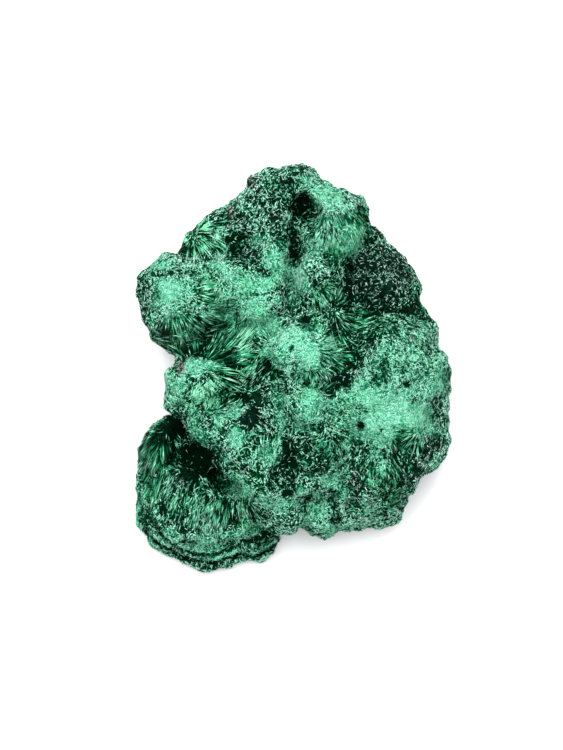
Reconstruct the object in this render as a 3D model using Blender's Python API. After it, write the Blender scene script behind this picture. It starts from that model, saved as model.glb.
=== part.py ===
"""A hand specimen of fibrous malachite, as one solid.

Round lobes of radiating needles grew into each other over a low core, and the piece broke off flat where it
had sat on its rock. Script units are metres, +Z is up, +Y is the long way, and the origin is in the middle of
the flat base. The tables below are in millimetres.
"""

import math

import bmesh
import bpy
import numpy as np
from mathutils import Matrix, Vector, noise

MM = 0.001

# Driving dimensions of the finished piece.
LENGTH = 66.1
WIDTH = 51.2
HEIGHT = 27.5

# How fine the solid is.
VOXEL = 0.5
TRIANGLES = 9300
EASING_STEPS = 3
SPARE_BELOW = 0.5

# Broad swells over the lobes.
SWELL_PITCH = 7.0
SWELL_HEIGHT = 1.1

# Round knobs all over: their spacing, height, and reach as a share of the spacing.
KNOB_PITCH = 2.9
KNOB_HEIGHT = 0.5
KNOB_REACH = 0.75
KNOB_CREASE = -0.6
KNOB_LEVEL = 0.5

# Ribs down the flanks. They fade out where the surface faces more upward than RIB_FLAT.
RIB_PITCH = 2.7
RIB_HEIGHT = 0.5
RIB_LEVEL = 0.6
RIB_STEEP = 0.58
RIB_FLAT = 0.93
WANDER_PITCH = 9.0
WANDER = 0.5

# Lobes: x and y of the middle, height of the top, then the three radii.
LOBES = {
    "core": (1.0, -1.0, 19.5, 19.0, 22.0, 15.0),
    "core tail": (3.0, -15.0, 17.5, 13.0, 9.5, 14.0),
    "core head": (0.0, 18.0, 16.5, 11.0, 10.5, 13.0),
    "west cap": (-16.8, 11.8, 21.0, 8.5, 7.2, 8.6),
    "west cap heel": (-17.4, 7.2, 17.0, 5.4, 5.2, 7.5),
    "northwest slope": (-9.3, 18.9, 19.0, 7.8, 6.9, 9.5),
    "northwest shoulder": (-5.8, 22.9, 18.5, 6.1, 5.9, 8.5),
    "north chip": (-3.4, 27.8, 17.5, 3.8, 4.0, 7.0),
    "north knob": (0.3, 27.2, 19.5, 4.6, 5.8, 8.5),
    "north fan": (6.2, 23.0, 22.5, 5.6, 6.5, 7.5),
    "north rim": (8.3, 23.2, 17.5, 4.0, 5.0, 8.0),
    "northeast chip": (9.8, 18.8, 14.0, 4.0, 5.0, 7.0),
    "east dome": (13.4, 12.6, 16.2, 7.0, 6.8, 8.0),
    "east dome crest": (12.3, 15.2, 15.4, 5.4, 5.5, 7.0),
    "east rim": (17.6, 5.2, 13.5, 5.8, 6.0, 7.5),
    "southeast crown": (15.6, -0.8, 25.5, 8.7, 8.9, 10.5),
    "crown skirt": (16.5, -3.0, 18.0, 9.2, 8.6, 9.0),
    "crown west": (9.0, -4.5, 24.5, 6.2, 6.6, 9.0),
    "crown brow": (15.2, -8.9, 23.2, 5.6, 4.0, 7.0),
    "southeast knob": (18.8, -11.8, 17.0, 6.2, 5.9, 8.5),
    "south fan": (13.2, -15.8, 21.0, 7.0, 8.2, 10.0),
    "south heel": (13.2, -20.6, 14.5, 5.5, 5.2, 7.5),
    "south skirt": (5.6, -19.8, 16.0, 6.9, 7.2, 9.0),
    "south lump": (-1.6, -20.6, 19.0, 4.9, 5.8, 8.0),
    "middle star": (1.6, 2.0, 26.5, 8.0, 7.0, 10.0),
    "middle knob": (3.9, 13.6, 24.0, 3.9, 5.2, 7.0),
    "knob foot": (4.6, 8.6, 22.0, 4.4, 5.0, 7.0),
    "west crest": (-9.6, 14.2, 23.0, 5.6, 5.2, 8.0),
    "inner crest": (-5.0, 10.8, 24.3, 4.8, 5.2, 9.0),
    "north crest": (-3.0, 17.6, 22.2, 3.7, 4.6, 8.0),
    "west knob": (-14.2, -2.6, 20.5, 6.8, 5.7, 8.5),
    "west spray": (-6.4, 0.4, 21.5, 6.8, 6.6, 8.0),
    "southwest brow": (-12.4, -9.2, 20.5, 5.4, 4.9, 6.5),
    "southwest mass": (-6.8, -12.6, 23.0, 6.2, 7.2, 8.5),
    "south brow": (-4.4, -19.2, 20.5, 4.2, 5.0, 6.5),
    "small knob": (2.6, -5.6, 25.2, 4.6, 4.8, 8.0),
    "south middle": (4.6, -13.0, 22.8, 7.6, 7.6, 9.0),
    "south bead 1": (5.1, -18.2, 20.6, 2.2, 2.1, 3.5),
    "south bead 2": (1.1, -19.2, 21.0, 2.0, 2.1, 3.5),
    "south bead 3": (7.7, -20.6, 18.4, 2.1, 2.0, 3.5),
    "south bead 4": (4.4, -24.4, 15.4, 2.3, 2.1, 4.0),
    "shell core": (-13.6, -20.2, 11.5, 7.9, 7.9, 13.0),
    "shell top": (-14.2, -20.0, 13.7, 9.0, 8.8, 4.4),
    "shell top lip": (-8.5, -22.2, 12.2, 5.1, 4.2, 3.8),
    "shell middle": (-13.8, -21.1, 8.3, 10.3, 10.0, 2.3),
    "shell middle lip": (-7.6, -24.7, 7.4, 5.1, 4.7, 2.2),
    "shell foot": (-13.9, -21.7, 4.7, 11.2, 11.0, 2.7),
    "shell foot lip": (-7.2, -25.6, 4.2, 5.3, 5.4, 2.6),
    "shell shoulder": (-20.0, -14.0, 11.5, 5.0, 5.2, 8.0),
}

# Hollows between the lobes, cut out of them: middle x, y and z, then the three radii.
HOLLOWS = {
    "deep hole": (1.4, 25.4, 19.5, 2.7, 3.1, 7.5),
    "cleft": (0.0, 20.6, 20.5, 1.5, 4.8, 7.5),
    "cleft foot": (-0.4, 16.9, 23.0, 1.7, 2.0, 5.5),
    "northwest hollow": (-8.8, 20.4, 20.0, 3.2, 2.2, 4.6),
    "star pit": (2.0, 7.6, 27.0, 1.3, 1.2, 3.0),
    "west pit": (-4.2, 0.2, 24.0, 2.0, 2.3, 4.4),
    "south pit": (-0.8, -13.9, 25.0, 1.8, 2.6, 5.0),
    "crown pit": (10.6, -8.8, 25.5, 1.0, 1.0, 3.0),
    "shell hollow": (-16.0, -12.8, 12.8, 5.2, 4.0, 6.0),
    "shell cave": (-9.6, -17.0, 11.6, 4.6, 4.0, 5.0),
}

# Where the sides stand out or draw in a little beside the lobes: middle x and y, how far around it, and the
# way the surface moves there. It moves in full up to LEAN_FULL of that reach and fades out by LEAN_END of it.
LEANS = {
    "northwest notch": (-17.2, 21.4, 2.6, -1.1, 0.3),
    "northwest corner": (-19.2, 19.6, 1.8, 0.7, -0.7),
    "northwest shoulder": (-12.5, 25.6, 3.0, -0.5, 0.6),
    "north chip": (-6.9, 29.6, 2.2, -1.1, 0.4),
    "north end": (2.4, 32.6, 2.4, 0.2, 0.6),
    "north fan": (8.2, 29.7, 2.4, -0.4, -0.8),
    "northeast chip": (12.2, 25.6, 1.8, -0.3, 0.0),
    "east dome": (14.2, 20.4, 3.2, 0.6, 0.6),
    "east dome rim": (18.4, 16.8, 1.8, 0.4, 0.4),
    "east rim": (22.4, 9.0, 3.0, -0.7, -0.3),
    "crown east": (23.2, 4.0, 2.4, -0.4, 0.0),
    "west cap": (-25.0, 14.0, 2.4, -0.6, 0.0),
    "west cap heel": (-22.8, 6.2, 3.4, -1.0, -0.2),
    "west notch": (-19.9, 0.2, 1.6, 0.8, 0.1),
    "west knob": (-19.0, -7.2, 2.6, -1.4, -0.3),
    "shell north": (-20.5, -8.7, 2.5, 0.0, 0.5),
    "shell notch": (-18.6, -9.6, 1.8, 0.0, 1.2),
    "shell west": (-25.0, -15.0, 6.0, -0.5, 0.0),
    "shell southwest": (-24.0, -26.4, 4.0, -0.9, -0.7),
    "shell south": (-19.5, -30.2, 3.5, -0.5, -0.9),
    "shell foot": (-15.0, -32.6, 3.0, 0.0, -0.5),
    "shell lip": (-6.2, -30.2, 2.6, 0.1, -1.0),
    "shell lip east": (-3.2, -28.5, 2.4, 0.4, -0.5),
    "south notch": (-1.0, -25.4, 2.6, 0.3, -1.1),
    "south skirt": (4.0, -27.0, 3.0, 0.0, -0.6),
    "south heel": (9.8, -24.9, 2.6, 0.0, -1.2),
    "south corner": (18.0, -22.2, 2.0, -0.4, 0.2),
    "crown southeast": (24.0, -8.5, 2.2, 1.0, 0.0),
    "southeast knob": (22.4, -15.0, 2.6, 0.6, -0.5),
    "southeast heel": (19.4, -18.6, 2.0, 0.3, -0.4),
}
LEAN_FULL = 0.2
LEAN_END = 1.4


def lobe_rows():
    """The lobes with the height of their middle in place of the height of their top."""
    return [(x, y, top - rz, rx, ry, rz) for x, y, top, rx, ry, rz in LOBES.values()]


def fuse(obj):
    remesh = obj.modifiers.new("fuse", "REMESH")
    remesh.mode = "VOXEL"
    remesh.voxel_size = VOXEL


def fused_ellipsoids(name, rows):
    """One object of many ellipsoids, given by their middles and radii, that a voxel remesh fuses."""
    bm = bmesh.new()
    for x, y, z, radius_x, radius_y, radius_z in rows:
        scale = Matrix.Diagonal((radius_x, radius_y, radius_z, 1.0))
        bmesh.ops.create_icosphere(
            bm, subdivisions=4, radius=1.0, matrix=Matrix.Translation((x, y, z)) @ scale
        )
    mesh = bpy.data.meshes.new(name)
    bm.to_mesh(mesh)
    bm.free()
    obj = bpy.data.objects.new(name, mesh)
    bpy.context.collection.objects.link(obj)
    fuse(obj)
    return obj


def apply_modifiers(obj):
    graph = bpy.context.evaluated_depsgraph_get()
    obj.data = bpy.data.meshes.new_from_object(obj.evaluated_get(graph))
    obj.modifiers.clear()


def grown_body():
    """The lobes fused, the hollows cut out, and the creases eased. In millimetres."""
    body = fused_ellipsoids("malachite", lobe_rows())
    cutter = fused_ellipsoids("hollows", HOLLOWS.values())
    cutter.hide_render = True
    cutter.display_type = "WIRE"
    cut = body.modifiers.new("hollows", "BOOLEAN")
    cut.operation = "DIFFERENCE"
    cut.object = cutter
    fuse(body)
    ease = body.modifiers.new("ease", "SMOOTH")
    ease.factor = 0.5
    ease.iterations = EASING_STEPS
    apply_modifiers(body)
    return body


def keep_outer_skin(bm):
    """Drops the skins of voids that the lobes close in between them, which are smaller than the outer skin."""
    unseen = set(bm.verts)
    skins = []
    while unseen:
        skin = {unseen.pop()}
        edge_of_skin = set(skin)
        while edge_of_skin:
            vert = edge_of_skin.pop()
            found = {edge.other_vert(vert) for edge in vert.link_edges} & unseen
            unseen -= found
            skin |= found
            edge_of_skin |= found
        skins.append(skin)
    outer = max(skins, key=len)
    inner = [vert for vert in bm.verts if vert not in outer]
    bmesh.ops.delete(bm, geom=inner, context="VERTS")


def coordinates(mesh):
    flat = np.empty(len(mesh.vertices) * 3)
    mesh.vertices.foreach_get("co", flat)
    return flat.reshape(-1, 3)


def normals(mesh):
    flat = np.empty(len(mesh.vertices) * 3)
    mesh.vertices.foreach_get("normal", flat)
    return flat.reshape(-1, 3)


def owners(points):
    """For each point, the row of the lobe whose surface it lies on."""
    rows = np.array(lobe_rows())
    reach = (points[:, None, :] - rows[None, :, :3]) / rows[None, :, 3:]
    return np.abs(np.linalg.norm(reach, axis=2) - 1.0).argmin(axis=1)


def rib_height(points, facing):
    """Ribs that run down the flanks of each lobe from its top, as bundles of needles do."""
    rows = np.array(lobe_rows())[owners(points)]
    away = points[:, :2] - rows[:, :2]
    around = np.arctan2(away[:, 1], away[:, 0])
    wander = np.array([noise.noise(Vector(point) / WANDER_PITCH) for point in points])
    count = np.round(2 * math.pi * rows[:, 3:5].mean(axis=1) / RIB_PITCH)
    wave = np.abs(np.sin(0.5 * count * (around + WANDER * wander)))
    flank = np.clip((RIB_FLAT - facing[:, 2]) / (RIB_FLAT - RIB_STEEP), 0.0, 1.0)
    return RIB_HEIGHT * (wave - RIB_LEVEL) * flank


def knob_height(points):
    """Small round knobs all over, the ends of separate needle bundles."""
    nearest = np.array([noise.voronoi(Vector(point) / KNOB_PITCH)[0][0] for point in points])
    knobs = np.maximum(1.0 - (nearest / KNOB_REACH) ** 2, KNOB_CREASE)
    return KNOB_HEIGHT * (knobs - KNOB_LEVEL)


def swell_height(points):
    """Broad swells, which keep the lobes from being plain ellipsoids."""
    swells = [noise.fractal(Vector(point) / SWELL_PITCH, 0.6, 2.0, 2) for point in points]
    return SWELL_HEIGHT * np.array(swells)


def raise_relief(mesh):
    points = coordinates(mesh)
    facing = normals(mesh)
    raised = swell_height(points) + knob_height(points) + rib_height(points, facing)
    mesh.vertices.foreach_set("co", (points + facing * raised[:, None]).ravel())
    mesh.update()


def lean_sides(mesh):
    """Moves the sides out or in by LEANS, which gives the outline its small corners and notches."""
    points = coordinates(mesh)
    leant = points.copy()
    for x, y, reach, east, north in LEANS.values():
        apart = np.hypot(points[:, 0] - x, points[:, 1] - y) / reach
        share = np.clip((LEAN_END - apart) / (LEAN_END - LEAN_FULL), 0.0, 1.0)
        share = share * share * (3.0 - 2.0 * share)
        leant[:, :2] += share[:, None] * (east, north)
    mesh.vertices.foreach_set("co", leant.ravel())
    mesh.update()


def fewer_triangles(body):
    """Collapses edges until the surface has about TRIANGLES triangles."""
    decimate = body.modifiers.new("fewer", "DECIMATE")
    decimate.use_collapse_triangulate = True
    body.data.calc_loop_triangles()
    decimate.ratio = TRIANGLES / len(body.data.loop_triangles)
    apply_modifiers(body)


def cut_flat(body, height):
    """Cuts away all below a height and closes the cut with a flat face."""
    bm = bmesh.new()
    bm.from_mesh(body.data)
    geometry = bm.verts[:] + bm.edges[:] + bm.faces[:]
    cut = bmesh.ops.bisect_plane(
        bm, geom=geometry, plane_co=(0, 0, height), plane_no=(0, 0, 1), clear_inner=True
    )
    edges = [item for item in cut["geom_cut"] if isinstance(item, bmesh.types.BMEdge)]
    bmesh.ops.holes_fill(bm, edges=edges, sides=0)
    bmesh.ops.triangulate(bm, faces=bm.faces[:])
    keep_outer_skin(bm)
    bm.to_mesh(body.data)
    bm.free()


def fit(mesh):
    """Scales the piece to its driving dimensions, in metres, with the origin in the middle of the base."""
    points = coordinates(mesh)
    low, high = points.min(axis=0), points.max(axis=0)
    middle = np.array([(low[0] + high[0]) / 2, (low[1] + high[1]) / 2, low[2]])
    size = np.array([WIDTH, LENGTH, HEIGHT])
    fitted = (points - middle) * size / (high - low) * MM
    mesh.vertices.foreach_set("co", fitted.ravel())
    mesh.update()


def malachite_green():
    material = bpy.data.materials.new("malachite green")
    material.use_nodes = True
    shader = material.node_tree.nodes["Principled BSDF"]
    shader.inputs["Base Color"].default_value = (0.045, 0.21, 0.12, 1.0)
    shader.inputs["Roughness"].default_value = 0.55
    shader.inputs["Metallic"].default_value = 0.0
    return material


def build():
    for obj in list(bpy.data.objects):
        bpy.data.objects.remove(obj)
    body = grown_body()
    raise_relief(body.data)
    lean_sides(body.data)
    cut_flat(body, -SPARE_BELOW)
    fewer_triangles(body)
    cut_flat(body, 0.0)
    fit(body.data)
    body.data.name = "malachite"
    body.data.materials.append(malachite_green())


build()
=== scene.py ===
import itertools
import math

import bpy
import numpy as np
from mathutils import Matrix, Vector
from mathutils.bvhtree import BVHTree


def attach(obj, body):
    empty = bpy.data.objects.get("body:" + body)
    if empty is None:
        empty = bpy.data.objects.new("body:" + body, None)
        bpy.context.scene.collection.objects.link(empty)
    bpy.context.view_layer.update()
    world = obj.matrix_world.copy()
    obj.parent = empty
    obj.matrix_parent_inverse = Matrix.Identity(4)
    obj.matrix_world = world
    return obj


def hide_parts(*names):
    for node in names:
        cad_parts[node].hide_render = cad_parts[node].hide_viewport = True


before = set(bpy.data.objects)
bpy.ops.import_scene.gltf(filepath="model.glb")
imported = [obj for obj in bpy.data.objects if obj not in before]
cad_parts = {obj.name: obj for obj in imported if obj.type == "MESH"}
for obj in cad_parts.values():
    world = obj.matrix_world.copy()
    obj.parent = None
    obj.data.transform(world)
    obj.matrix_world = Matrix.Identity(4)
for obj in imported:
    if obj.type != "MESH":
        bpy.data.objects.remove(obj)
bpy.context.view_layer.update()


# The mass. The malachite grew as round lobes that closed up against each other, all of it needles that start
# deep inside a lobe. Within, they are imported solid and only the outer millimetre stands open, so the mass
# lies a little under the needles' tips. Below it broke off flat. Sizes are in millimetres, +y is north.
MM = 0.001
MASS_VOXEL = 0.45
EASING_STEPS = 5
BLUR_STEPS = 60
OPEN_DEPTH = 1.0
FELT_DEPTH = 0.1
BASE_FADE = 1.6

# Pale tops, where the needles stand on end and close together, with painted light where some tops on slopes
# turned from the lamp are made paler still: x, y, the two radii and how pale. Amounts in these lists may pass
# 1, which widens the part of the place that has it in full.
PALE_AND_LIT_TOPS = [
    # Northwest
    (-19.6, 12.4, 3.3, 2.8, 1.0), (-16.8, 13.2, 1.8, 1.6, 0.5), (-21.5, 9.8, 1.6, 1.6, 0.3),
    (-11.4, 16.8, 2.0, 1.8, 0.8), (-10.0, 14.6, 2.0, 1.6, 0.75), (-7.6, 13.2, 2.6, 1.9, 0.95),
    (-5.0, 13.6, 2.8, 1.7, 0.85), (-6.2, 10.4, 2.2, 1.6, 1.0), (-2.8, 17.3, 2.0, 2.1, 0.9),
    (-2.0, 15.4, 1.9, 1.8, 0.85), (-1.9, 19.2, 1.5, 1.6, 0.4), (-16.4, 16.6, 2.4, 1.3, 0.35),
    (-0.2, 4.4, 3.2, 2.6, 1.15), (-2.2, 5.2, 2.2, 1.9, 0.85), (-15.6, 0.4, 2.4, 2.0, 0.95),
    (-12.0, 10.4, 2.4, 2.2, 0.5), (-7.4, 6.8, 2.6, 2.6, 0.4), (-10.4, 6.6, 2.2, 1.8, 0.6),
    (-6.0, 6.8, 2.6, 2.2, 0.95), (-10.4, 8.8, 2.2, 2.0, 0.8), (-0.4, 14.6, 1.4, 1.8, 0.6),
    (-3.6, 2.2, 1.6, 1.4, 0.8), (-16.4, 5.2, 1.8, 1.4, 0.65), (-17.4, 9.8, 1.6, 1.6, 0.5),
    (-3.4, 7.2, 2.0, 1.8, 1.0), (-21.4, 16.8, 2.6, 1.2, 0.6), (-2.2, 1.1, 2.0, 1.8, 0.6),
    (-9.0, 2.2, 1.2, 1.2, 0.35), (-17.6, 4.2, 1.8, 1.0, 0.35), (-9.4, 13.8, 2.4, 1.4, 0.4),
    (-18.7, 8.0, 2.4, 1.6, 0.45), (-3.9, 2.6, 1.8, 1.6, 0.6), (-8.4, 15.4, 2.2, 1.2, 0.5),
    (-7.4, 6.2, 2.0, 1.6, 0.8), (-12.4, 0.7, 2.2, 1.6, 0.9), (-11.6, 9.6, 2.2, 1.8, 0.7),
    (-9.4, 11.6, 2.4, 1.6, 0.6), (-6.4, 9.4, 2.6, 2.0, 1.0), (-18.6, 9.0, 2.4, 1.4, 0.6),
    (-4.4, 2.4, 1.8, 1.4, 0.8), (-6.0, 20.6, 2.2, 1.2, 0.5), (-0.7, 16.2, 1.4, 1.2, 0.6),
    (-14.1, 14.8, 1.6, 1.2, 0.5), (-16.8, 3.8, 2.0, 1.2, 0.5),
    # Northeast
    (2.6, 2.2, 2.7, 2.8, 1.2), (19.6, 4.6, 3.4, 3.8, 0.35), (5.0, 27.4, 3.3, 2.4, 0.8),
    (7.2, 24.6, 3.2, 3.0, 0.55), (2.2, 29.8, 2.2, 1.5, 0.6), (9.0, 21.4, 2.6, 3.2, 0.6),
    (3.6, 19.0, 2.1, 1.3, 0.75), (0.9, 14.8, 1.8, 2.2, 0.9), (3.2, 22.0, 1.4, 1.8, 0.35),
    (8.2, 19.4, 2.6, 2.6, 0.8), (9.4, 21.0, 1.8, 2.0, 0.8), (2.9, 7.0, 1.6, 1.4, 0.55),
    (2.0, 17.0, 1.4, 2.2, 0.4), (0.2, 13.8, 1.8, 1.4, 0.6), (3.4, 6.4, 1.6, 1.2, 0.7),
    (9.4, 19.6, 2.0, 1.8, 1.0), (1.2, 12.6, 1.8, 1.4, 0.6), (6.4, 1.0, 1.6, 1.4, 0.4),
    (3.0, 6.2, 1.8, 1.0, 0.8), (6.8, 18.7, 1.6, 1.6, 0.7), (0.3, 11.2, 1.6, 1.2, 0.5),
    # Southwest
    (-2.4, -2.8, 1.6, 1.2, 0.35), (-19.0, -2.6, 2.2, 2.2, 0.7), (-2.2, -8.0, 1.1, 2.4, 0.65),
    (-9.6, -6.8, 1.7, 1.6, 0.75), (-9.2, -10.9, 1.5, 2.0, 0.85), (-11.9, -8.1, 1.5, 1.1, 0.6),
    (-15.6, -9.4, 1.2, 2.4, 0.7), (-14.7, -11.3, 1.6, 1.0, 0.7), (-3.6, -13.7, 2.0, 2.0, 0.7),
    (-2.8, -11.4, 1.2, 1.4, 0.55), (-9.2, -17.9, 1.4, 1.2, 0.7), (-8.1, -19.9, 1.9, 1.4, 0.85),
    (-10.8, -14.0, 1.2, 1.2, 0.55), (-2.0, -21.8, 2.0, 1.4, 0.7), (-4.1, -21.4, 1.2, 1.0, 0.6),
    (-14.0, -28.4, 4.2, 1.2, 0.5), (-8.6, -26.5, 3.2, 0.9, 0.6), (-25.0, -22.4, 0.9, 3.8, 0.7),
    (-23.0, -19.4, 1.8, 2.8, 0.5), (-23.2, -28.8, 2.0, 1.2, 0.6), (-13.6, -28.0, 2.4, 1.6, 0.55),
    (-8.6, -26.4, 2.2, 1.2, 0.55), (-13.6, -10.6, 2.2, 1.4, 0.5), (-15.9, -7.6, 1.6, 1.8, 0.5),
    (-12.4, -6.6, 2.0, 1.6, 0.45), (-9.0, -18.9, 2.0, 1.8, 0.8), (-6.6, -25.4, 1.8, 1.2, 0.6),
    (-13.8, -29.0, 2.6, 0.8, 0.6), (-15.2, -10.8, 1.6, 1.8, 0.8), (-1.8, -4.8, 1.8, 1.4, 0.6),
    (-13.2, -30.2, 2.6, 1.0, 0.6), (-20.9, -26.4, 1.6, 1.2, 0.45), (-18.2, -5.0, 1.8, 1.6, 0.5),
    (-11.6, -4.0, 2.4, 1.0, 0.5), (-13.2, -11.8, 1.8, 1.2, 0.4), (-19.2, -27.4, 2.0, 1.2, 0.4),
    (-9.8, -29.4, 2.4, 1.0, 0.5), (-16.4, -29.2, 2.4, 1.0, 0.45), (-14.0, -4.7, 1.6, 1.2, 0.35),
    (-14.9, -11.6, 1.8, 1.3, 0.7), (-12.6, -12.6, 1.6, 1.2, 0.45), (-6.8, -26.2, 1.8, 0.8, 0.7),
    (-10.6, -18.4, 1.8, 1.2, 0.7), (-17.0, -22.4, 2.4, 1.2, 0.35), (-21.6, -26.6, 1.8, 1.2, 0.5),
    # Southeast
    (2.9, -5.2, 2.5, 3.1, 0.85), (12.4, -4.6, 3.2, 2.2, 1.1), (16.8, -7.4, 4.4, 3.2, 1.3),
    (13.6, -8.6, 4.2, 3.0, 1.2), (13.8, -11.0, 2.8, 1.9, 0.9), (20.2, -7.6, 2.6, 2.8, 1.1),
    (17.2, -0.6, 6.8, 6.4, 0.42), (5.7, -18.0, 1.4, 1.6, 0.85), (1.1, -19.2, 1.2, 0.8, 0.85),
    (3.0, -17.4, 1.2, 0.9, 0.6), (7.9, -20.0, 1.4, 1.2, 0.65), (3.9, -20.2, 1.1, 0.9, 0.6),
    (0.4, -21.4, 1.1, 0.8, 0.6), (3.8, -22.8, 2.4, 1.4, 0.7), (6.0, -25.4, 1.5, 1.5, 0.7),
    (2.0, -24.0, 1.1, 1.0, 0.6), (9.3, -22.3, 1.0, 0.8, 0.6), (12.6, -14.0, 1.6, 3.0, 0.35),
    (11.3, -24.4, 2.2, 0.8, 0.6), (22.6, -15.2, 2.6, 1.0, 0.55), (22.6, -10.2, 2.0, 1.0, 0.6),
    (12.0, -23.0, 1.8, 1.2, 0.4), (3.2, -7.4, 1.6, 1.6, 0.6), (9.4, -7.8, 1.6, 1.6, 0.6),
    (1.2, -0.8, 1.6, 1.2, 0.7), (1.0, -8.0, 1.8, 1.4, 0.6), (10.6, -3.2, 1.6, 2.2, 0.75),
    (10.0, -8.4, 1.6, 2.0, 0.75), (7.2, -5.6, 1.8, 1.6, 0.5), (18.4, -3.4, 2.2, 1.6, 0.7),
    (23.6, -1.6, 1.4, 2.4, 0.75), (5.6, -5.1, 1.3, 0.4, 1.0), (7.8, -4.5, 1.5, 0.4, 1.0),
    (2.9, -5.8, 2.2, 1.6, 0.6), (9.0, -2.6, 2.0, 1.4, 0.4), (14.2, -3.2, 2.4, 1.6, 0.6),
    (19.9, -9.2, 2.2, 1.6, 0.6), (7.4, -15.8, 2.0, 1.6, 0.4), (8.0, -19.2, 1.8, 1.6, 0.4),
    (9.2, -5.0, 1.8, 1.4, 0.6), (12.2, -2.4, 2.2, 1.4, 0.6), (15.6, -4.6, 2.6, 1.6, 0.9),
    (15.4, -10.8, 2.6, 1.4, 0.8), (4.4, -20.6, 1.8, 1.2, 0.5), (21.4, -4.0, 1.8, 1.8, 0.6),
    (10.8, -10.4, 2.0, 1.8, 0.85), (14.6, -10.8, 2.2, 1.4, 0.7), (9.0, -8.4, 1.6, 1.2, 0.6),
    (11.6, -4.0, 2.4, 1.6, 1.0), (16.4, -4.2, 2.0, 1.4, 0.9), (22.0, -2.6, 1.8, 1.8, 0.65),
    (5.2, -7.6, 2.0, 1.2, 0.5), (1.6, -9.2, 1.8, 1.4, 0.5), (7.4, -17.2, 1.8, 1.4, 0.5),
    (4.6, -12.4, 1.8, 1.4, 0.45), (13.9, -15.8, 1.6, 2.0, 0.4), (8.6, -19.3, 1.6, 1.2, 0.5),
]
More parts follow.
